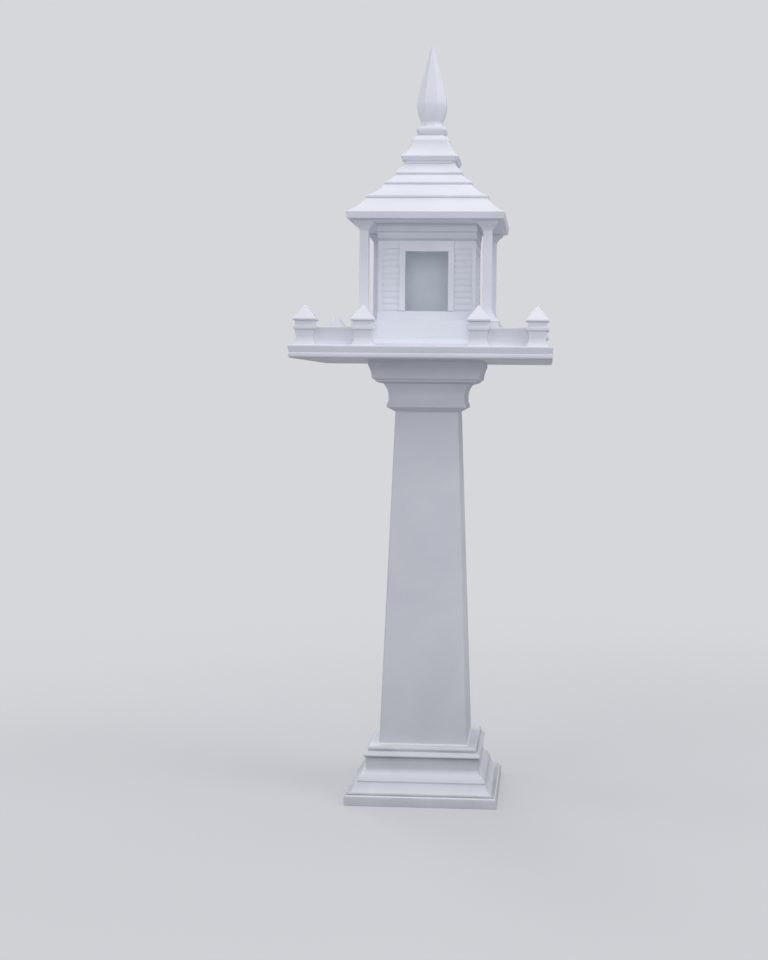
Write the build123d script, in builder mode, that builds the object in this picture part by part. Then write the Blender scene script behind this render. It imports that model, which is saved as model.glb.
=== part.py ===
"""A square spirit house of cast stone on a tapered pedestal, in millimetres.

The pedestal stands on a moulded base and carries a wide deck on a moulded capital. On the deck, a
parapet with capped posts surrounds a hollow chamber with a doorway in front, four corner columns
and a stepped roof that ends in a faceted spire. +Z is up, the doorway faces -Y and the origin is
at the middle of the underside.
"""
from build123d import *
from math import cos, sin, pi, sqrt
import os

os.makedirs("parts", exist_ok=True)

# Plinth and moulded base, half widths and heights
plinth_half = 271.0
plinth_height = 32.0
plinth_bevel = 2.0
quirk_half = 262.0          # the narrow step on the plinth
quirk_height = 9.0
skirt_half = 250.0          # the long hollow slope starts here
skirt_height = 35.0
waist_half = 229.0
fillet_step = 3.0
fillet_height = 5.0
hollow_half = 213.0
hollow_height = 22.0
hollow_ledge = 5.0
throat_height = 57.0
base_arch = 4.0             # how far each hollow bows in
collar_height = 39.0
collar_soffit = 4.0         # rise of its nearly flat underside
collar_band = 5.0
collar_bevel = 12.0
collar_step = 7.0

# Hollow tapered shaft of four mitred slabs
shaft_foot_half = 158.0
shaft_head_half = 114.0
shaft_height = 1194.0
shaft_wall = 22.0
shaft_arris = 4.0
collar_top_reach = 30.0     # these three stand out from the foot of the shaft
throat_reach = 44.0
collar_reach = 51.0
collar_top_half = shaft_foot_half + collar_top_reach
throat_half = shaft_foot_half + throat_reach
collar_half = shaft_foot_half + collar_reach

# Capital, each member standing out from the head of the shaft
neck_reach = 23.0
astragal_reach = 28.5
cove_reach = 40.0
shelf_reach = 66.0
crown_low_reach = 77.0
crown_reach = 89.5
neck_half = shaft_head_half + neck_reach
astragal_half = shaft_head_half + astragal_reach
cove_half = shaft_head_half + cove_reach
shelf_half = shaft_head_half + shelf_reach
crown_low_half = shaft_head_half + crown_low_reach
crown_half = shaft_head_half + crown_reach
astragal_height = 29.0
neck_height = 23.0
cove_height = 52.0
shelf_height = 8.0
crown_height = 74.0
crown_band = 18.0
capital_joint = 4.0         # the sunk joint between the shaft and the capital

# Deck
deck_half = 450.0
deck_moulding_height = 20.0
deck_nose = 9.0             # radius of the moulding's rounded lower edge
deck_slab_height = 24.0
deck_undercut = 4.0         # how far the slab's face leans in towards the moulding
deck_arris = 2.0

# Posts and parapet
post_margin = 54.0          # from the deck's edge to the middle of a corner post
gate_width = 315.0          # clear way between the caps of the gate posts
post_cap_half = 39.5
post_centre = deck_half - post_margin
gate_centre = gate_width / 2 + post_cap_half
post_shaft_half = 32.0
post_waist_half = 29.5
post_ring_half = 37.5
post_foot_half = 37.0
post_foot_height = 4.5
post_waist_height = 28.0
post_ring_height = 56.0
post_ring_thickness = 9.0
post_ring_bevel = 5.0       # height of the slope under the ring
post_neck_height = 83.0
post_cap_lip = 5.0
post_height = 142.0
coping_half = 15.0
parapet_half = 13.0
parapet_foot_half = 19.0
parapet_waist_height = 18.0

# House platform, body and doorway
body_half = 174.0
body_wall = 20.0
veranda = 85.0              # from the body to the edge of the platform
platform_flare = 15.0
platform_foot_height = 14.0
platform_flare_height = 18.0
platform_height = 94.0
platform_half = body_half + veranda
platform_foot_half = platform_half + platform_flare
socle_height = 38.0
socle_step = 2.0
wall_height = 247.0
pilaster_width = 15.0       # plain strip at each corner of the body
course_height = 22.0        # swelling courses between the corner strips
course_count = 10
course_swell = 3.0
course_recess = 0.6
door_width = 152.0
door_height = 210.0
frame_width = 21.0
frame_stand = 5.0
frieze_height = 60.0
frieze_step = 2.0

# Corner columns
column_half = 16.0
column_foot_half = 40.0
column_margin = 2.0         # from the column's foot to the edge of the platform
column_centre = platform_half - column_margin - column_foot_half
column_foot_height = 58.0
column_foot_lip = 4.0
column_head_half = 38.0
column_head_height = 31.0

# Stepped roof: an eave and three smaller courses, each a fascia under a hollow slope
soffit_margin = 1.0
eave_soffit_height = 2.0
eave_reach = 22.0
eave_soffit_half = column_centre + column_head_half + soffit_margin
eave_half = eave_soffit_half + eave_reach
eave_bevel_height = 7.0
eave_fascia = 23.0
eave_lean = 4.0             # how far the fascia leans in to its foot
eave_slope_height = 55.0
eave_hollow = 6.0           # how far each slope bows in
lower_setback = 60.0        # each course stands back from the edge of the one below
middle_setback = 61.0
upper_setback = 37.0
neck_setback = 28.0
lower_half = eave_half - lower_setback
middle_half = lower_half - middle_setback
upper_half = middle_half - upper_setback
roof_neck_half = upper_half - neck_setback
lower_fascia = 8.0
lower_slope_height = 48.0
lower_hollow = 5.8
middle_fascia = 7.0
middle_slope_height = 33.0
middle_hollow = 2.6
upper_fascia = 6.0
upper_slope_height = 35.0
upper_hollow = 2.0
roof_tuck = 4.0             # how far a slope ends inside the fascia above it
roof_lean = 2.0             # how far each fascia leans in to its foot

# Bell and spire
bell_neck_height = 10.0
bell_half = 105.0
bell_lip = 17.0
bell_lean = 7.0             # how far the lip's face leans in to its foot
bell_waist_half = 69.0
bell_slope_height = 56.0
bell_band = 4.0
bell_shoulder_half = 46.0
bell_shoulder_height = 22.0
bell_corner = 10.0
ring_half = 54.5
ring_height = 32.0
ring_corner = 12.0
bud_foot_half = 43.0
bud_foot_height = 18.0
bud_stem_half = 38.5
bud_half = 54.5
bud_swell_height = 64.0
bud_shoulder_half = 43.5
bud_shoulder_height = 56.0
bud_height = 2737.0         # the tip, above the floor

# Heights, each course on the one below it
base_z = plinth_height
skirt_top_z = base_z + quirk_height + skirt_height
throat_z = skirt_top_z + fillet_height + hollow_height + throat_height
shaft_z = throat_z + collar_height
capital_z = shaft_z + shaft_height
crown_z = capital_z + astragal_height + neck_height + cove_height
deck_z = crown_z + shelf_height + crown_height
slab_z = deck_z + deck_moulding_height
floor_z = slab_z + deck_slab_height
platform_z = floor_z + platform_height
sill_z = platform_z + socle_height
frieze_z = sill_z + wall_height
soffit_z = frieze_z + frieze_height
eave_z = soffit_z + eave_soffit_height + eave_bevel_height + eave_fascia
lower_z = eave_z + eave_slope_height
middle_z = lower_z + lower_fascia + lower_slope_height
upper_z = middle_z + middle_fascia + middle_slope_height
bell_z = upper_z + upper_fascia + upper_slope_height
ring_z = bell_z + bell_neck_height + bell_lip + bell_slope_height + bell_band + bell_shoulder_height
bud_z = ring_z + ring_height
reach = 2 * deck_half


def run(*stops):
    """Draws a closed half outline from stop to stop; a third number bows that stretch by so much."""
    for start, stop in zip(stops, stops[1:]):
        if len(stop) == 3:
            SagittaArc(start[:2], stop[:2], stop[2])
        else:
            Line(start[:2], stop[:2])
    Line(stops[-1][:2], stops[0][:2])


def mitred(stops, sides=4, turns=None, centre=(0, 0)):
    """Takes a half outline round a plan of equal sides, mitred at every corner."""
    for turn in turns or range(sides // 2):
        angle = turn * 2 * pi / sides
        across = Plane(origin=(*centre, 0), x_dir=(cos(angle), sin(angle), 0), z_dir=(sin(angle), -cos(angle), 0))
        with BuildSketch(across) as outline:
            with BuildLine():
                run(*stops)
            make_face()
            mirror(about=Plane.YZ)
        extrude(outline.sketch, amount=reach, both=True, mode=Mode.INTERSECT if turn else Mode.ADD)


def cut_corners(stops, corner):
    """Cuts the corners off a square course, each by so much along its two sides."""
    diagonal = [((2 * half - corner) / sqrt(2) if half else 0, *rest) for half, *rest in stops]
    mitred(diagonal, sides=8, turns=(1, 3))


def keep_side(quarter, low, high):
    """Keeps the quarter of a square ring that faces one way: 0 is +X, 1 is +Y, 2 is -X and 3 is -Y."""
    angle = quarter * pi / 2
    with BuildSketch(Plane(origin=(0, 0, low), x_dir=(cos(angle), sin(angle), 0), z_dir=(0, 0, 1))) as quadrant:
        Polygon((0, 0), (reach, -reach), (reach, reach), align=None)
    extrude(quadrant.sketch, amount=high - low, mode=Mode.INTERSECT)


def finish(part, name):
    """Names a piece and writes it."""
    part.label = name
    export_step(part, f"parts/{name}.step")


# Base courses
with BuildPart() as base_plinth:
    with BuildSketch():
        Rectangle(2 * plinth_half, 2 * plinth_half)
    extrude(amount=plinth_height)
    chamfer(base_plinth.edges().group_by(Axis.Z)[-1], plinth_bevel)
finish(base_plinth.part, "base_plinth")

with BuildPart() as base_moulding:
    mitred([
        (0, base_z), (quirk_half, base_z), (quirk_half, base_z + quirk_height),
        (skirt_half, base_z + quirk_height), (waist_half, skirt_top_z, base_arch),
        (waist_half, skirt_top_z + fillet_height), (waist_half - fillet_step, skirt_top_z + fillet_height),
        (hollow_half, throat_z - throat_height, -base_arch / 2), (hollow_half - hollow_ledge, throat_z - throat_height),
        (throat_half, throat_z - throat_height * 0.6, base_arch / 2), (throat_half, throat_z), (0, throat_z),
    ])
finish(base_moulding.part, "base_moulding")

band_z = throat_z + collar_soffit + collar_band
with BuildPart() as base_collar:
    mitred([
        (0, throat_z), (throat_half, throat_z), (collar_half, throat_z + collar_soffit), (collar_half, band_z),
        (collar_half - collar_bevel, band_z + collar_bevel),
        (collar_half - collar_bevel - fillet_step, band_z + collar_bevel),
        (collar_half - collar_bevel - fillet_step, band_z + collar_bevel + collar_step),
        (collar_top_half, shaft_z, -base_arch / 2), (0, shaft_z),
    ])
finish(base_collar.part, "base_collar")

# Shaft: one tapered square tube, cut along its mitres into four slabs
for quarter, side in enumerate(("right", "rear", "left", "front")):
    with BuildPart() as shaft:
        mitred([(0, shaft_z), (shaft_foot_half, shaft_z), (shaft_head_half, capital_z), (0, capital_z)])
        chamfer(shaft.edges().filter_by(Axis.Z, tolerance=10), shaft_arris)
        with BuildSketch(Plane.XY.offset(shaft_z)):
            Rectangle(2 * (shaft_foot_half - shaft_wall), 2 * (shaft_foot_half - shaft_wall))
        with BuildSketch(Plane.XY.offset(capital_z)):
            Rectangle(2 * (shaft_head_half - shaft_wall), 2 * (shaft_head_half - shaft_wall))
        loft(mode=Mode.SUBTRACT)
        keep_side(quarter, shaft_z, capital_z)
    finish(shaft.part, f"shaft_{side}")

# Capital
with BuildPart() as capital_neck:
    mitred([
        (0, capital_z), (shaft_head_half - capital_joint / 2, capital_z),
        (shaft_head_half - capital_joint / 2, capital_z + capital_joint),
        (shaft_head_half, capital_z + capital_joint), (astragal_half, capital_z + astragal_height * 0.7),
        (astragal_half, capital_z + astragal_height), (neck_half, capital_z + astragal_height * 1.4),
        (neck_half, capital_z + astragal_height + neck_height), (cove_half, crown_z, 6), (0, crown_z),
    ])
finish(capital_neck.part, "capital_neck")

with BuildPart() as capital_crown:
    mitred([
        (0, crown_z), (cove_half, crown_z), (shelf_half, crown_z + shelf_height, -1),
        (shelf_half, crown_z + shelf_height * 1.6), (crown_low_half, crown_z + shelf_height * 2.5, -2),
        (crown_half, deck_z - crown_band, 2.5), (crown_half, deck_z), (0, deck_z),
    ])
finish(capital_crown.part, "capital_crown")

# Deck
with BuildPart() as deck_moulding:
    mitred([
        (0, deck_z), (deck_half - deck_nose, deck_z), (deck_half - 1, deck_z + deck_nose, -deck_nose / 4),
        (deck_half - 1, slab_z - deck_nose * 0.8), (deck_half - deck_undercut, slab_z, -1), (0, slab_z),
    ])
finish(deck_moulding.part, "deck_moulding")

with BuildPart() as deck_slab:
    mitred([
        (0, slab_z), (deck_half - deck_undercut, slab_z), (deck_half, floor_z - deck_arris * 3),
        (deck_half, floor_z - deck_arris), (deck_half - deck_arris, floor_z), (0, floor_z),
    ])
finish(deck_slab.part, "deck_slab")

# Posts with a flared foot, a ring and a pyramid cap
post_stops = [
    (0, floor_z), (post_foot_half, floor_z), (post_foot_half, floor_z + post_foot_height),
    (post_waist_half, floor_z + post_waist_height, 2), (post_shaft_half, floor_z + post_ring_height - post_ring_bevel),
    (post_ring_half, floor_z + post_ring_height), (post_ring_half, floor_z + post_ring_height + post_ring_thickness),
    (post_shaft_half, floor_z + post_ring_height + post_ring_thickness + 3),
    (post_shaft_half, floor_z + post_neck_height), (post_cap_half, floor_z + post_neck_height + 3),
    (post_cap_half, floor_z + post_neck_height + 3 + post_cap_lip), (0, floor_z + post_height),
]
post_places = {
    "post_front_left": (-post_centre, -post_centre), "post_front_right": (post_centre, -post_centre),
    "post_rear_left": (-post_centre, post_centre), "post_rear_right": (post_centre, post_centre),
    "gate_post_left": (-gate_centre, -post_centre), "gate_post_right": (gate_centre, -post_centre),
}
posts = {}
for name, place in post_places.items():
    with BuildPart() as post:
        mitred(post_stops, centre=place)
    posts[name] = post.part
    finish(post.part, name)

# Parapet walls between the posts, with the posts' ring carried on as their coping
coping_z = floor_z + post_ring_height
parapet_ends = {
    "parapet_front_left": ("post_front_left", "gate_post_left"),
    "parapet_front_right": ("gate_post_right", "post_front_right"),
    "parapet_left": ("post_front_left", "post_rear_left"),
    "parapet_right": ("post_front_right", "post_rear_right"),
    "parapet_rear": ("post_rear_left", "post_rear_right"),
}
for name, (first, last) in parapet_ends.items():
    start, stop = Vector(*post_places[first]), Vector(*post_places[last])
    along = (stop - start).normalized()
    with BuildPart() as wall:
        with BuildSketch(Plane(origin=start, x_dir=Vector(0, 0, 1).cross(along), z_dir=along)):
            with BuildLine():
                run((0, floor_z), (parapet_foot_half, floor_z), (parapet_foot_half, floor_z + post_foot_height),
                    (parapet_half, floor_z + parapet_waist_height, 1), (parapet_half, coping_z - post_ring_bevel),
                    (coping_half, coping_z), (coping_half, coping_z + post_ring_thickness - 4),
                    (coping_half - 4, coping_z + post_ring_thickness, -1), (0, coping_z + post_ring_thickness))
            make_face()
            mirror(about=Plane.YZ)
        extrude(amount=(stop - start).length)
        add(posts[first].solids() + posts[last].solids(), mode=Mode.SUBTRACT)
    finish(wall.part, name)

# House platform and socle
with BuildPart() as house_platform:
    mitred([
        (0, floor_z), (platform_foot_half, floor_z), (platform_foot_half, floor_z + platform_foot_height),
        (platform_half, floor_z + platform_foot_height + platform_flare_height, 3), (platform_half, platform_z),
        (0, platform_z),
    ])
finish(house_platform.part, "house_platform")

with BuildPart() as house_socle:
    with BuildSketch(Plane.XY.offset(platform_z)):
        Rectangle(2 * (body_half + socle_step), 2 * (body_half + socle_step))
    extrude(amount=socle_height)
    chamfer(house_socle.edges().group_by(Axis.Z)[-1], socle_step)
finish(house_socle.part, "house_socle")

# Chamber walls: a square ring cut along its mitres, each side with swelling courses between plain
# strips at the corners, and the doorway in front
course_face = body_half - course_recess
courses_top = sill_z + course_count * course_height
swelling = [(body_half + course_swell, sill_z), (course_face - course_swell, sill_z)]
for course in range(course_count):
    swelling.append((course_face - course_swell, sill_z + (course + 1) * course_height, -course_swell))
swelling.append((body_half + course_swell, courses_top))
doorway_half = door_width / 2 + frame_width


def chamber_side(quarter):
    """Builds the wall that faces one way, with the courses cut into it."""
    with BuildSketch(Plane.XY.offset(sill_z)) as ring:
        Rectangle(2 * body_half, 2 * body_half)
        Rectangle(2 * (body_half - body_wall), 2 * (body_half - body_wall), mode=Mode.SUBTRACT)
    extrude(ring.sketch, amount=wall_height)
    keep_side(quarter, sill_z, frieze_z)
    angle = quarter * pi / 2
    with BuildSketch(Plane((0, 0, 0), (cos(angle), sin(angle), 0), (sin(angle), -cos(angle), 0))) as panel:
        with BuildLine():
            run(*swelling)
        make_face()
    extrude(panel.sketch, amount=body_half - pilaster_width, both=True, mode=Mode.SUBTRACT)


for quarter, side in enumerate(("right", "rear", "left")):
    with BuildPart() as wall:
        chamber_side(quarter)
    finish(wall.part, f"wall_{side}")
for hand, side in ((-1, "left"), (1, "right")):
    with BuildPart() as wall:
        chamber_side(3)
        with BuildSketch(Plane.XY.offset(sill_z)):
            with Locations((hand * (doorway_half + reach / 2), 0)):
                Rectangle(reach, reach)
        extrude(amount=wall_height, mode=Mode.INTERSECT)
    finish(wall.part, f"wall_front_{side}")

# Door frame: two jambs and a head that line the wall and stand a little proud of it
frame_depth = body_wall + frame_stand
for hand, side in ((-1, "left"), (1, "right")):
    with BuildPart() as jamb:
        with BuildSketch(Plane.XY.offset(sill_z)):
            with Locations((hand * (door_width + frame_width) / 2, -body_half - frame_stand + frame_depth / 2)):
                Rectangle(frame_width, frame_depth)
        extrude(amount=door_height)
    finish(jamb.part, f"door_jamb_{side}")

with BuildPart() as door_head:
    with BuildSketch(Plane.XY.offset(sill_z + door_height)):
        with Locations((0, -body_half - frame_stand + frame_depth / 2)):
            Rectangle(2 * doorway_half, frame_depth)
    extrude(amount=wall_height - door_height)
finish(door_head.part, "door_head")

# Frieze, which is also the chamber's ceiling
with BuildPart() as house_frieze:
    mitred([
        (0, frieze_z), (body_half + frieze_step / 2, frieze_z),
        (body_half + frieze_step / 2, frieze_z + frieze_height * 0.12),
        (body_half + frieze_step, frieze_z + frieze_height * 0.12),
        (body_half + frieze_step, frieze_z + frieze_height * 0.55),
        (body_half + frieze_step * 2, frieze_z + frieze_height * 0.55),
        (body_half + frieze_step * 2, soffit_z), (0, soffit_z),
    ])
finish(house_frieze.part, "house_frieze")

# Corner columns, hollow-flared at the foot and the head
for y_hand, end in ((-1, "front"), (1, "rear")):
    for x_hand, side in ((-1, "left"), (1, "right")):
        with BuildPart() as column:
            mitred([
                (0, platform_z), (column_foot_half, platform_z), (column_foot_half, platform_z + column_foot_lip),
                (column_half, platform_z + column_foot_height, 7), (column_half, soffit_z - column_head_height),
                (column_head_half, soffit_z - column_foot_lip, 3), (column_head_half, soffit_z), (0, soffit_z),
            ], centre=(x_hand * column_centre, y_hand * column_centre))
        finish(column.part, f"column_{end}_{side}")

# Roof courses
with BuildPart() as roof_eave:
    mitred([
        (0, soffit_z), (eave_soffit_half, soffit_z), (eave_soffit_half, soffit_z + eave_soffit_height),
        (eave_half - eave_lean, soffit_z + eave_soffit_height + eave_bevel_height), (eave_half, eave_z),
        (lower_half - roof_tuck, lower_z, eave_hollow), (0, lower_z),
    ])
finish(roof_eave.part, "roof_eave")

roof_courses = (
    ("roof_lower", lower_z, lower_half, lower_fascia, lower_slope_height, middle_half, lower_hollow),
    ("roof_middle", middle_z, middle_half, middle_fascia, middle_slope_height, upper_half, middle_hollow),
    ("roof_upper", upper_z, upper_half, upper_fascia, upper_slope_height, roof_neck_half + roof_tuck, upper_hollow),
)
for name, course_z, half, fascia, slope, next_half, hollow in roof_courses:
    with BuildPart() as course:
        mitred([
            (0, course_z), (half - roof_lean, course_z), (half, course_z + fascia),
            (next_half - roof_tuck, course_z + fascia + slope, hollow), (0, course_z + fascia + slope),
        ])
    finish(course.part, name)

# Bell, square with its corners cut off
lip_z = bell_z + bell_neck_height
shoulder_z = ring_z - bell_shoulder_height
bell_stops = [
    (0, bell_z), (roof_neck_half, bell_z), (roof_neck_half, lip_z), (bell_half - bell_lean, lip_z),
    (bell_half, lip_z + bell_lip * 0.8), (bell_half, lip_z + bell_lip),
    (bell_waist_half, shoulder_z - bell_band, 6), (bell_waist_half, shoulder_z), (bell_shoulder_half, ring_z, -3),
    (0, ring_z),
]
with BuildPart() as roof_bell:
    mitred(bell_stops)
    cut_corners(bell_stops, bell_corner)
finish(roof_bell.part, "roof_bell")

# Spire ring, square with cut corners, and the eight-sided bud
ring_stops = [
    (0, ring_z), (bell_shoulder_half, ring_z), (ring_half, ring_z + ring_height * 0.6, -1.5),
    (ring_half - 5, bud_z - 2, -1.5), (bud_foot_half, bud_z), (0, bud_z),
]
with BuildPart() as spire_ring:
    mitred(ring_stops)
    cut_corners(ring_stops, ring_corner)
finish(spire_ring.part, "spire_ring")

stem_z = bud_z + bud_foot_height
widest_z = stem_z + bud_swell_height
with BuildPart() as spire_bud:
    mitred([
        (0, bud_z), (bud_foot_half, bud_z), (bud_stem_half, stem_z, 2), (bud_half, widest_z, -3),
        (bud_shoulder_half, widest_z + bud_shoulder_height, -1), (0, bud_height),
    ], sides=8)
finish(spire_bud.part, "spire_bud")
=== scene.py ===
# %% [markdown]
# # A cast-stone spirit house on a tapered pedestal
# The real one is cast in moulds from white cement and crushed marble, piece by piece, then rubbed
# smooth and set together with a little white cement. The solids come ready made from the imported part.
# This lesson rounds their arrises, adds the beads of cement between them, and gives the stone its
# colour, its faint clouds and its sheen.

# %% Load the frame
import bpy
from math import pi, radians
from mathutils import Matrix, Vector


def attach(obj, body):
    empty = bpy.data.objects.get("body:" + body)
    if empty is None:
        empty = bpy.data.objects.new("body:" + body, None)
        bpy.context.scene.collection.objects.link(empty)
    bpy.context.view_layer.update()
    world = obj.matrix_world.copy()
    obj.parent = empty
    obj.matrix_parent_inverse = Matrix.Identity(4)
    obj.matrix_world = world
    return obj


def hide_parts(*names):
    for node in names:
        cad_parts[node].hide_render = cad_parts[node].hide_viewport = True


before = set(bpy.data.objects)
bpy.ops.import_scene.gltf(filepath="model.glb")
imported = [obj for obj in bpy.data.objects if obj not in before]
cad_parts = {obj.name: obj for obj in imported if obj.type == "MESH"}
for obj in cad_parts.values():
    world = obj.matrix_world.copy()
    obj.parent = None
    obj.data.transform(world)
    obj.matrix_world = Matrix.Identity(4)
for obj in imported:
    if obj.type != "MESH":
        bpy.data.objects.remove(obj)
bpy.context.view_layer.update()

# %% [markdown]
# ## The camera
# A photograph is matched by its lens, by where the camera stood and by how it was held. The camera
# here stands nearly six metres in front, a little to the right and about as high as a standing
# viewer's chest. A lens is given in millimetres against its sensor, whose width belongs to the longer
# side of the picture, so the focal length measured in pixels is divided by the picture's height. The
# picture is cut from a wider one, so its middle is not where the lens pointed, and a small shift of
# the sensor puts that back.

# %% Camera
picture_width, picture_height = 768, 960
focal_pixels = 1554.1
lens_centre = (450, 465)
camera_data = bpy.data.cameras.new("viewpoint")
camera_data.sensor_fit = "AUTO"
camera_data.sensor_width = 36
camera_data.lens = focal_pixels / picture_height * camera_data.sensor_width
camera_data.shift_x = (picture_width / 2 - lens_centre[0]) / picture_height
camera_data.shift_y = (lens_centre[1] - picture_height / 2) / picture_height
camera = bpy.data.objects.new("viewpoint", camera_data)
bpy.context.scene.collection.objects.link(camera)
turn, tilt, lean = 0.06343, -0.04478, 0.0099
camera.location = (0.4393, -5.6861, 1.4568)
camera.rotation_euler = (
    Matrix.Rotation(turn, 3, "Z") @ Matrix.Rotation(pi / 2 + tilt, 3, "X") @ Matrix.Rotation(lean, 3, "Z")
).to_euler()
bpy.context.scene.camera = camera
print("lens", round(camera_data.lens, 2), "mm at", tuple(round(value, 3) for value in camera.location))

# %% [markdown]
# ## Colours and nodes
# Colours are written the way a picture editor shows them, as hex values, and turned into the linear
# light that the renderer works in. One helper adds a node, sets its fields or sockets by name or
# number and joins the sockets that come from other nodes. The Mix node has a set of sockets for each
# kind of value, all with the same names, so those for colours are called by their numbers.

# %% Helpers for colours and nodes
first_colour, second_colour, mixed_colour = 6, 7, 2


def colour(hex_value):
    """Turns an sRGB hex value into linear red, green, blue and a full alpha."""
    parts = [int(hex_value[place:place + 2], 16) / 255 for place in (1, 3, 5)]
    linear = [part / 12.92 if part <= 0.04045 else ((part + 0.055) / 1.055) ** 2.4 for part in parts]
    return (*linear, 1.0)


def add(tree, kind, joins=None, sockets=None, **fields):
    """Adds a node with its fields, its socket values and its links, and returns it."""
    node = tree.nodes.new(kind)
    for name, value in fields.items():
        setattr(node, name, value)
    for name, value in (sockets or {}).items():
        node.inputs[name].default_value = value
    for name, source in (joins or {}).items():
        tree.links.new(source, node.inputs[name])
    return node


def new_material(name):
    """Makes an empty node material and returns it with its tree."""
    material = bpy.data.materials.new(name)
    material.use_nodes = True
    material.node_tree.nodes.clear()
    return material, material.node_tree


white, grey = "#E4E6EE", "#CCCFD9"
print("white stone", [round(part, 3) for part in colour(white)])

# %% [markdown]
# ## Floor, sky and lamps
# White stone needs gentle light, or it burns out. The real house stands under a bright overcast sky,
# which lights it from all round and most from above: tops are bright, upright faces are about half as
# bright, and undersides are dark. So the world is a soft dome, a wide lamp overhead adds the brighter
# top of the sky, and others round about give the faces their modelling. Two very small ones behind
# the door jambs bring the chamber's back wall out of the dark. The floor is a plain pale sheet. Its
# far part takes the colour of the background for the camera and for reflections. To the light that it
# throws back up it is a darker grey, so that the undersides stay in shade.

# %% Floor
backdrop_colour = "#D5D7DB"
floor_radius = 14
near_fade, far_fade = 0.4, 5.0          # metres from the middle over which the floor turns to background
floor_material, tree = new_material("pale matt floor")
place = add(tree, "ShaderNodeTexCoord")
distance = add(tree, "ShaderNodeVectorMath", {0: place.outputs["Object"]}, operation="LENGTH")
far = add(tree, "ShaderNodeMapRange", {"Value": distance.outputs["Value"]},
          {"From Min": near_fade, "From Max": far_fade, "To Min": 0.5, "To Max": 1.0},
          interpolation_type="SMOOTHSTEP")
path = add(tree, "ShaderNodeLightPath")
seen = add(tree, "ShaderNodeMath", {0: path.outputs["Is Camera Ray"], 1: path.outputs["Is Glossy Ray"]},
           operation="MAXIMUM")
fade = add(tree, "ShaderNodeMath", {0: far.outputs["Result"], 1: seen.outputs["Value"]}, operation="MULTIPLY")
tone = add(tree, "ShaderNodeMix", {"Factor": path.outputs["Is Camera Ray"]},
           {first_colour: colour("#85878B"), second_colour: colour("#C4C5C8")}, data_type="RGBA")
matt = add(tree, "ShaderNodeBsdfDiffuse", {"Color": tone.outputs[mixed_colour]})
glow = add(tree, "ShaderNodeEmission", sockets={"Color": colour(backdrop_colour), "Strength": 1.0})
mix = add(tree, "ShaderNodeMixShader",
          {0: fade.outputs["Value"], 1: matt.outputs["BSDF"], 2: glow.outputs["Emission"]})
add(tree, "ShaderNodeOutputMaterial", {"Surface": mix.outputs["Shader"]})

bpy.ops.object.select_all(action="DESELECT")
bpy.ops.mesh.primitive_circle_add(vertices=96, radius=floor_radius, fill_type="NGON", location=(0, 0, 0))
floor = bpy.context.object
floor.name = "floor"
floor.data.materials.append(floor_material)
print("floor radius", round(floor.dimensions.x / 2, 2), "m")

# %% Sky
sky_colour, sky_strength = "#F1F3FB", 0.46
mirrored_share = 0.4                    # how much of the background the stone's sheen shows
world = bpy.data.worlds.new("soft sky")
bpy.context.scene.world = world
world.use_nodes = True
world.node_tree.nodes.clear()
tree = world.node_tree
path = add(tree, "ShaderNodeLightPath")
mirrored = add(tree, "ShaderNodeMath", {0: path.outputs["Is Glossy Ray"]}, {1: mirrored_share},
               operation="MULTIPLY")
seen = add(tree, "ShaderNodeMath", {0: path.outputs["Is Camera Ray"], 1: mirrored.outputs["Value"]},
           operation="MAXIMUM")
through = add(tree, "ShaderNodeMath", {0: seen.outputs["Value"], 1: path.outputs["Is Transmission Ray"]},
              operation="MAXIMUM")
fill = add(tree, "ShaderNodeBackground", sockets={"Color": colour(sky_colour), "Strength": sky_strength})
back = add(tree, "ShaderNodeBackground", sockets={"Color": colour(backdrop_colour), "Strength": 1.0})
mix = add(tree, "ShaderNodeMixShader",
          {0: through.outputs["Value"], 1: fill.outputs["Background"], 2: back.outputs["Background"]})
add(tree, "ShaderNodeOutputWorld", {"Surface": mix.outputs["Shader"]})
print("sky strength", sky_strength)

# %% Lamps
# Each lamp has its place, the point that it faces, its width and height in metres, its watts and tint.
lamp_list = {
    "overhead softbox": ((0.0, -0.6, 8.0), (0, 0, 1.6), (5.0, 5.0), 106, "#FFFFFF"),
    "high left softbox": ((-3.4, -4.4, 5.4), (0, 0, 1.7), (2.6, 2.6), 52, "#FFFFFF"),
    "high right softbox": ((4.6, -1.6, 6.4), (0, 0, 1.7), (2.6, 2.6), 116, "#FFFFFF"),
    "low right softbox": ((4.8, -3.0, 3.4), (0, 0, 1.9), (2.0, 2.0), 25, "#FFFFFF"),
    "front softbox": ((0.6, -6.6, 2.1), (0, 0, 1.5), (2.0, 2.0), 77, "#FFFFFF"),
    "back softbox": ((-2.6, 5.6, 3.8), (0, 0, 1.5), (2.6, 2.6), 138, "#FFFFFF"),
    "left softbox": ((-5.4, 0.7, 3.2), (0, 0, 1.5), (2.6, 2.6), 45, "#FFFFFF"),
    "left chamber lamp": ((-0.116, -0.145, 1.90), (-0.09, 0.2, 1.91), (0.07, 0.19), 0.066, "#ECF8F6"),
    "right chamber lamp": ((0.116, -0.145, 1.90), (0.09, 0.2, 1.91), (0.07, 0.19), 0.066, "#ECF8F6"),
}
for name, (where, target, (width, height), watts, tint) in lamp_list.items():
    lamp = bpy.data.lights.new(name, "AREA")
    lamp.shape, lamp.size, lamp.size_y, lamp.energy = "RECTANGLE", width, height, watts
    lamp.color = colour(tint)[:3]
    holder = bpy.data.objects.new(name, lamp)
    bpy.context.scene.collection.objects.link(holder)
    holder.location = where
    aim = Vector(where) - Vector(target)
    holder.rotation_euler = aim.to_track_quat("Z", "Y").to_euler()
    print(name, watts, "W")

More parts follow.
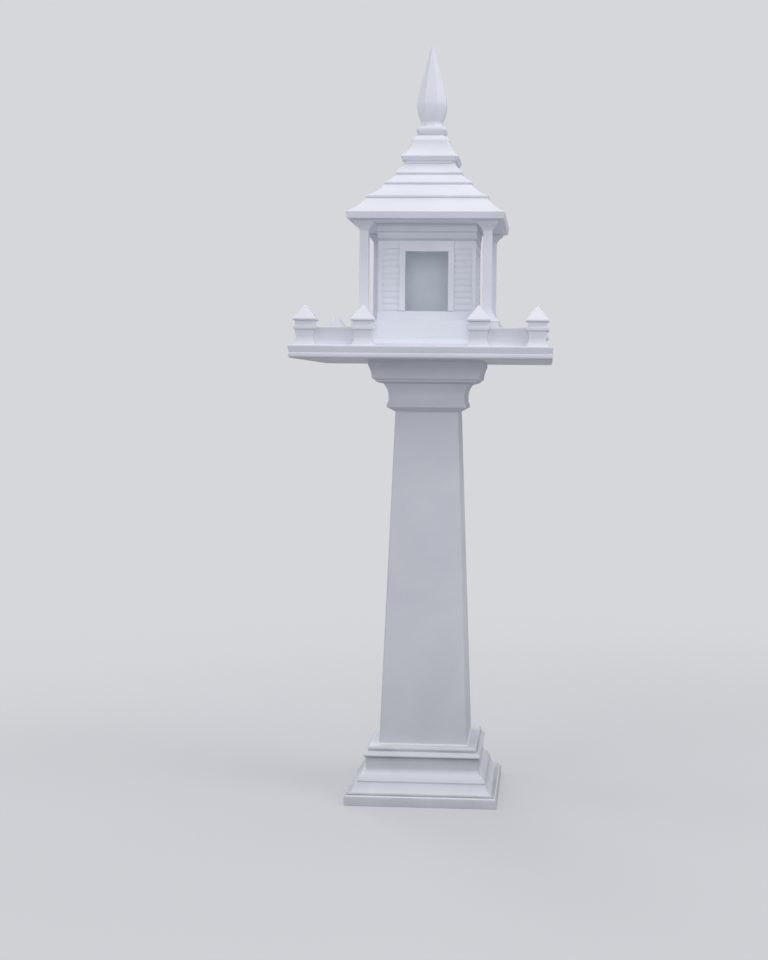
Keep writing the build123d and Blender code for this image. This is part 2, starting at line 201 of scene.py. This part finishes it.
# %% [markdown]
# ## Painted shade and a film of dust
# A grey is laid over the stone level by level. In the steps and recesses of the base, under the collar
# and under each step of the frieze it is painted shade; at the foot of the base it is splashed dust. A
# much fainter grey darkens the parapet and the foot of the shaft. It could be painted by hand, but the
# mouldings run level all round, so a colour ramp over the height draws every line of it with one node.
# The stone's clouds, which the next step makes, let it show more in some places than in others.

# %% Painted shade and dust
noise_low, noise_high = 0.3, 0.7        # nearly all of a noise's values lie between these


def dust_and_shade_over(tree, place, cloud, plain, dust_and_shade_colour, stops):
    """Darkens a plain colour level by level with painted shade and dust, and returns the new colour.

    Each stop is a height in metres and how strongly the darkening shows there.
    """
    lowest, highest = stops[0][0], stops[-1][0]
    height = add(tree, "ShaderNodeSeparateXYZ", {"Vector": place.outputs["Object"]})
    share = add(tree, "ShaderNodeMapRange", {"Value": height.outputs["Z"]},
                {"From Min": lowest, "From Max": highest})
    ramp = add(tree, "ShaderNodeValToRGB", {"Fac": share.outputs["Result"]})
    # New elements start at the far end of the ramp, so placing them from the low end keeps their order.
    while len(ramp.color_ramp.elements) < len(stops):
        ramp.color_ramp.elements.new(1.0)
    for element, (level, strength) in zip(ramp.color_ramp.elements, stops):
        element.position = (level - lowest) / (highest - lowest)
        element.color = (strength, strength, strength, 1.0)
    patchiness = add(tree, "ShaderNodeMapRange", {"Value": cloud.outputs["Fac"]},
               {"From Min": noise_low, "From Max": noise_high, "To Min": 0.7, "To Max": 1.2})
    # How strongly the painted shade and dust show at this height, patchy with the clouds.
    dust_and_shade_share = add(tree, "ShaderNodeMath", {0: ramp.outputs["Color"], 1: patchiness.outputs["Result"]},
               operation="MULTIPLY")
    darkened = add(tree, "ShaderNodeMix", {"Factor": dust_and_shade_share.outputs["Value"], first_colour: plain},
                  {second_colour: colour(dust_and_shade_colour)}, data_type="RGBA")
    return darkened.outputs[mixed_colour]


# Splashed dust below; painted shade as a line in the step on the plinth, in the fillet and higher on the
# collar, and under the collar.
base_stops = (
    (0.0000, 0.30), (0.0280, 0.16), (0.0325, 0.75), (0.0405, 0.75), (0.0430, 0.08), (0.0745, 0.04),
    (0.0765, 0.55), (0.0805, 0.55), (0.0825, 0.02), (0.1080, 0.05), (0.1220, 0.34), (0.1460, 0.42),
    (0.1585, 0.80), (0.1640, 0.60), (0.1655, 0.20), (0.1800, 0.20), (0.1812, 0.72), (0.1875, 0.72),
    (0.1890, 0.16),
)
# A painted shade line under each step of the frieze.
frieze_shade_stops = (
    (2.0015, 0.00), (2.0025, 0.50), (2.0090, 0.50), (2.0120, 0.16), (2.0300, 0.00), (2.0320, 0.42),
    (2.0350, 0.42), (2.0360, 0.05), (2.0500, 0.05), (2.0620, 0.30),
)
# The shaft is made darker towards its foot, and the hollow face of the parapet a little darker, most in its
# upper half.
shaft_stops = ((0.199, 0.32), (0.300, 0.22), (0.550, 0.12), (1.000, 0.08), (1.393, 0.05))
parapet_stops = ((1.6230, 0.10), (1.6400, 0.16), (1.6700, 0.22), (1.6900, 0.18), (1.7000, 0.00))
print("levels of film:", len(base_stops) + len(frieze_shade_stops) + len(shaft_stops) + len(parapet_stops))

# %% [markdown]
# ## Cast stone
# White cement with crushed marble sets to a dense pale stone. It is rubbed down with fine stones when
# it is hard, which opens the marble grains as small flat specks and leaves the surface smooth with a
# low sheen. Cement dries unevenly, so broad faint clouds stay in it, and a few pin holes are left by
# air in the mould. Patterns that are worked out in space need no unwrapping and show no seam, which
# suits so many small mouldings. The clouds are a broad noise, the specks a fine cell pattern whose
# cells each take one shade, and the pin holes are the middles of a coarser cell pattern.

# %% Cast stone material
grain_metres = 0.003                    # marble grains are 1 to 2 mm, drawn at 3 mm so that they show
hole_spacing = 0.025                    # pin holes are under 1 mm and 25 mm apart, drawn 1.5 mm wide
hole_colour = "#A9ACB6"
ripple_metres, ripple_depth = 0.06, 0.0008      # rubbing by hand leaves broad, very shallow ripples
stone_ior = 1.5
print("grains", grain_metres * 1000, "mm, pin holes every", hole_spacing * 1000, "mm")


def cast_stone(name, stone, shade, cloud_metres, cloud_strength, speck_strength, sheen, turned=(0, 0, 0),
               dust_and_shade_colour=None, stops=()):
    """Makes a cast stone with clouds so many metres wide; sheen is its roughness."""
    material, tree = new_material(name)
    place = add(tree, "ShaderNodeTexCoord")
    seat = add(tree, "ShaderNodeMapping", {"Vector": place.outputs["Object"]}, {"Rotation": turned})
    cloud = add(tree, "ShaderNodeTexNoise", {"Vector": seat.outputs["Vector"]},
                {"Scale": 1 / cloud_metres, "Detail": 4.0, "Roughness": 0.5, "Distortion": 0.4})
    patch = add(tree, "ShaderNodeMapRange", {"Value": cloud.outputs["Fac"]},
                {"From Min": 0.35, "From Max": 0.68, "To Min": 0.0, "To Max": cloud_strength})
    grain = add(tree, "ShaderNodeTexVoronoi", {"Vector": seat.outputs["Vector"]}, {"Scale": 1 / grain_metres})
    shades = add(tree, "ShaderNodeSeparateColor", {"Color": grain.outputs["Color"]})
    speck = add(tree, "ShaderNodeMapRange", {"Value": shades.outputs["Red"]},
                {"To Min": 0.0, "To Max": speck_strength})
    air = add(tree, "ShaderNodeTexVoronoi", {"Vector": seat.outputs["Vector"]}, {"Scale": 1 / hole_spacing})
    hole = add(tree, "ShaderNodeMapRange", {"Value": air.outputs["Distance"]},
               {"From Min": 0.02, "From Max": 0.035, "To Min": 0.5, "To Max": 0.0})
    clouded = add(tree, "ShaderNodeMix", {"Factor": patch.outputs["Result"]},
                  {first_colour: colour(stone), second_colour: colour(shade)}, data_type="RGBA")
    plain = clouded.outputs[mixed_colour]
    if stops:
        plain = dust_and_shade_over(tree, place, cloud, plain, dust_and_shade_colour, stops)
    specked = add(tree, "ShaderNodeMix", {"Factor": speck.outputs["Result"], first_colour: plain},
                  {second_colour: colour(shade)}, data_type="RGBA")
    pinned = add(tree, "ShaderNodeMix",
                 {"Factor": hole.outputs["Result"], first_colour: specked.outputs[mixed_colour]},
                 {second_colour: colour(hole_colour)}, data_type="RGBA")
    rough = add(tree, "ShaderNodeMapRange", {"Value": cloud.outputs["Fac"]},
                {"From Min": noise_low, "From Max": noise_high, "To Min": sheen - 0.05, "To Max": sheen + 0.07})
    ripple = add(tree, "ShaderNodeTexNoise", {"Vector": seat.outputs["Vector"]},
                 {"Scale": 1 / ripple_metres, "Detail": 2.0})
    bump = add(tree, "ShaderNodeBump", {"Height": ripple.outputs["Fac"]},
               {"Strength": 0.3, "Distance": ripple_depth})
    shader = add(tree, "ShaderNodeBsdfPrincipled",
                 {"Base Color": pinned.outputs[mixed_colour], "Roughness": rough.outputs["Result"],
                  "Normal": bump.outputs["Normal"]}, {"IOR": stone_ior})
    add(tree, "ShaderNodeOutputMaterial", {"Surface": shader.outputs["BSDF"]})
    return material


# %% The stones
# After the two colours come the clouds' width in metres, their strength, the specks' strength, the
# roughness, how the pattern is turned, and the colour and levels of the grey of painted shade and dust where
# there is one.
slab_stone = cast_stone("polished cast stone", white, grey, 0.30, 0.30, 0.12, 0.44, (0.4, 0.2, 0.9))
moulded_stone = cast_stone("rubbed cast stone", white, grey, 0.16, 0.26, 0.12, 0.48, (1.1, 0.3, 0.2))
roof_stone = cast_stone("rubbed roof stone", "#E5E7EF", "#CED1DB", 0.12, 0.26, 0.12, 0.48, (0.2, 0.9, 1.3))
base_stone = cast_stone("rubbed base stone", white, grey, 0.16, 0.26, 0.12, 0.50, (0.7, 0.1, 0.5),
                        "#9A9D9C", base_stops)
# The frieze carries painted shade lines under its steps.
frieze_stone = cast_stone("rubbed frieze stone", white, grey, 0.16, 0.26, 0.12, 0.48, (0.3, 0.5, 0.8),
                          "#92979C", frieze_shade_stops)
shaft_stone = cast_stone("polished shaft stone", white, grey, 0.30, 0.30, 0.12, 0.44, (0.4, 0.2, 0.9),
                         "#9A9D9C", shaft_stops)
parapet_stone = cast_stone("rubbed parapet stone", white, grey, 0.16, 0.26, 0.12, 0.48, (1.1, 0.3, 0.2),
                           "#9A9DA3", parapet_stops)
cement = cast_stone("white jointing cement", "#EDEEF2", "#D3D5DD", 0.02, 0.5, 0.2, 0.62)
print("stones:", [material.name for material in bpy.data.materials if "stone" in material.name])

# %% [markdown]
# ## Rubbed arrises
# A cast edge is never knife sharp: it is rubbed to a radius of about a millimetre, and that thin
# rounding is what catches the light along every edge. A shader can fake it, but only a cut edge is
# still there when the meshes leave Blender. Where the steps of a moulding are small, the radius is
# smaller too, or the rounded edges would fold over each other. A solid's mesh is loose triangles, so a
# copy is merged and its flat faces are cleared of their inner edges first. Then every edge that turns
# by more than 30 degrees is bevelled. Weighted normals keep the broad faces flat beside the small new
# ones.

# %% Which stone and which radius
stones = {"base": base_stone, "shaft": shaft_stone, "deck": slab_stone, "parapet": parapet_stone,
          "house_platform": slab_stone, "house_socle": slab_stone, "house_frieze": frieze_stone,
          "roof": roof_stone, "spire": roof_stone}
full_radius = 0.0014
small_radii = {"spire_bud": 0.0004, "house_frieze": 0.0003, "wall": 0.0005, "door": 0.0009, "deck": 0.0012,
               "shaft": 0.0010, "capital": 0.0009, "roof_eave": 0.0009, "base_moulding": 0.0009,
               "house_platform": 0.0011, "post": 0.0009, "gate": 0.0009}


def by_start(table, name, otherwise):
    """Returns what a table gives for the start of a solid's name."""
    return next((value for start, value in table.items() if name.startswith(start)), otherwise)


print("smallest radius", min(small_radii.values()) * 1000, "mm")

# %% Round the arrises of every solid
# Points nearer than this are merged, because the bevel is cut down to suit the shortest edge.
merge_distance = 0.001
flat_angle, sharp_angle, smooth_angle = radians(0.5), radians(30), radians(50)


def dress(name):
    """Copies a solid, rounds the copy's arrises and lets the copy stand for the solid."""
    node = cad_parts[name]
    bpy.ops.object.select_all(action="DESELECT")
    node.select_set(True)
    bpy.context.view_layer.objects.active = node
    bpy.ops.object.duplicate()
    piece = bpy.context.object
    piece.name = f"dressed_{name}"
    for key in [key for key in piece.keys() if key.startswith("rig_")]:
        del piece[key]
    piece.parent = None
    piece.data.materials.clear()
    piece.data.materials.append(by_start(stones, name, moulded_stone))
    bpy.ops.object.mode_set(mode="EDIT")
    bpy.ops.mesh.select_mode(type="EDGE")
    bpy.ops.mesh.select_all(action="SELECT")
    bpy.ops.mesh.remove_doubles(threshold=merge_distance)
    bpy.ops.mesh.dissolve_limited(angle_limit=flat_angle)
    bpy.ops.mesh.select_all(action="DESELECT")
    bpy.ops.mesh.edges_select_sharp(sharpness=sharp_angle)
    bpy.ops.mesh.bevel(offset=by_start(small_radii, name, full_radius), segments=2, clamp_overlap=True)
    bpy.ops.mesh.select_all(action="SELECT")
    bpy.ops.mesh.normals_make_consistent(inside=False)
    bpy.ops.object.mode_set(mode="OBJECT")
    bpy.ops.object.shade_smooth_by_angle(angle=smooth_angle)
    bpy.ops.object.modifier_add(type="WEIGHTED_NORMAL")
    piece.modifiers[-1].keep_sharp = True
    bpy.ops.object.modifier_apply(modifier=piece.modifiers[-1].name)
    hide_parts(name)
    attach(piece, "root")
    return piece


dressed = {name: dress(name) for name in sorted(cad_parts)}
dressed_faces = sum(len(piece.data.polygons) for piece in dressed.values())
print("dressed", len(dressed), "pieces with", dressed_faces, "faces")

# %% [markdown]
# ## Beads of cement
# Every casting is bedded on white cement. What squeezes out of the joint is wiped with a finger to a
# small sloping bead, four or five millimetres wide and a little uneven. A curve with a round section
# would lie round the casting like a cord, so each bead is a low box, as wide as the joint and the bead
# together. Its free face is drawn in to make the slope, both faces are inset to the casting, and the
# two insets are bridged, which leaves a ring. The long edges are then cut up and their points moved a
# fraction of a millimetre.

# %% Where the joints are
level_error = 0.0002


def joint_of(*names, head=False):
    """Returns the left, front, right, back and height of some solids' lowest level, or their highest."""
    points = [vertex.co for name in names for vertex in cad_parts[name].data.vertices]
    level = max(point.z for point in points) if head else min(point.z for point in points)
    rim = [point for point in points if abs(point.z - level) < level_error]
    return (min(point.x for point in rim), min(point.y for point in rim),
            max(point.x for point in rim), max(point.y for point in rim), level)


bedded = [name for name in sorted(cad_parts) if name.startswith(("post", "gate", "parapet", "column"))]
joints = {name: joint_of(name) for name in bedded + ["base_moulding", "house_platform", "house_socle"]}
joints["shaft"] = joint_of("shaft_front", "shaft_right", "shaft_rear", "shaft_left")
joints["capital"] = joint_of("capital_crown", head=True)
print("joints:", len(joints))

# %% Pick parts of a mesh
tiny = 0.0001
print("lengths under", tiny * 1000, "mm count as none")


def pick(ring, kind, wanted):
    """Leaves a ring in edit mode with only the faces, edges or points that are wanted selected."""
    bpy.ops.object.mode_set(mode="EDIT")
    bpy.ops.mesh.select_mode(type=kind)
    bpy.ops.mesh.select_all(action="DESELECT")
    bpy.ops.object.mode_set(mode="OBJECT")
    for part in {"FACE": ring.data.polygons, "EDGE": ring.data.edges, "VERT": ring.data.vertices}[kind]:
        part.select = wanted(part)
    bpy.ops.object.mode_set(mode="EDIT")


def runs_along(ring, edge, side, longest):
    """Says whether an edge runs straight along a side (0 for x, 1 for y) and is longer than a length."""
    first, last = (ring.data.vertices[index].co for index in edge.vertices)
    return abs(first[side] - last[side]) > longest and abs(first[1 - side] - last[1 - side]) < tiny


# %% A box with sloping sides, open through the middle
bedding = 0.0005                        # how far a bead is sunk into the casting that it lies on
lip = 0.0008                            # how far its thin end stands out from the casting in its middle
tuck = 0.0004                           # how far its inner wall is sunk into that casting
print("a bead's thin end is", round((lip + tuck) * 1000, 1), "mm wide")


def hollow_box(name, joint, width, height):
    """Makes the ring of a bead, with its wide side on the joint's level and its thin side at its height."""
    left, front, right, back, level = joint
    across, deep = right - left, back - front
    middle = ((left + right) / 2, (front + back) / 2)
    bed = bedding if height > 0 else -bedding
    bpy.ops.object.select_all(action="DESELECT")
    bpy.ops.mesh.primitive_cube_add(size=1, location=(*middle, level + (height - bed) / 2),
                                    scale=(across + 2 * width, deep + 2 * width, abs(height + bed)))
    ring = bpy.context.object
    ring.name = f"bead_{name}"
    bpy.ops.object.transform_apply(location=True, rotation=True, scale=True)
    faces = sorted(ring.data.polygons, key=lambda face: face.center.z * (1 if height > 0 else -1))
    bedded_face, free_face = faces[0].index, faces[-1].index
    pick(ring, "FACE", lambda face: face.index == free_face)
    bpy.ops.transform.resize(
        value=((across + 2 * lip) / (across + 2 * width), (deep + 2 * lip) / (deep + 2 * width), 1),
        center_override=(*middle, level + height))
    bpy.ops.mesh.inset(thickness=lip + tuck)
    bpy.ops.object.mode_set(mode="OBJECT")
    insides = [face.center.copy() for face in ring.data.polygons if face.select]
    pick(ring, "FACE", lambda face: face.index == bedded_face)
    bpy.ops.mesh.inset(thickness=width + tuck)
    bpy.ops.object.mode_set(mode="OBJECT")
    insides += [face.center.copy() for face in ring.data.polygons if face.select]
    pick(ring, "FACE", lambda face: any((inside - face.center).length < tiny for inside in insides))
    bpy.ops.mesh.bridge_edge_loops()
    bpy.ops.object.mode_set(mode="OBJECT")
    return ring


# %% Lay the beads
cut_spacing, longest_uncut = 0.022, 0.024
unevenness = 0.0006
bead_width, bead_height, hanging_height = 0.0045, 0.0038, -0.004


def bead(name, joint, width, height, seed):
    """Lays a bead round a joint; with a height below zero it hangs from the upper piece."""
    left, front, right, back, level = joint
    across, deep = right - left, back - front
    ring = hollow_box(name, joint, width, height)
    for side, length in enumerate((across, deep)):
        pick(ring, "EDGE", lambda edge: runs_along(ring, edge, side, longest_uncut))
        bpy.ops.mesh.subdivide(number_cuts=max(int(length / cut_spacing), 1))
    pick(ring, "VERT", lambda point: max(abs(point.co.x - (left + right) / 2) - across / 2,
                                         abs(point.co.y - (front + back) / 2) - deep / 2) > tiny)
    bpy.ops.transform.vertex_random(offset=unevenness, seed=seed)
    bpy.ops.mesh.select_all(action="SELECT")
    bpy.ops.mesh.normals_make_consistent(inside=False)
    bpy.ops.object.mode_set(mode="OBJECT")
    bpy.ops.object.shade_smooth_by_angle(angle=radians(60))
    ring.data.materials.append(cement)
    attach(ring, "root")
    return ring


beads = [bead(name, joint, bead_width, hanging_height if name == "capital" else bead_height, seed)
         for seed, (name, joint) in enumerate(joints.items())]
print("laid", len(beads), "beads with", sum(len(ring.data.polygons) for ring in beads), "faces")

# %% The view transform and the end
bpy.context.scene.view_settings.view_transform = "Standard"
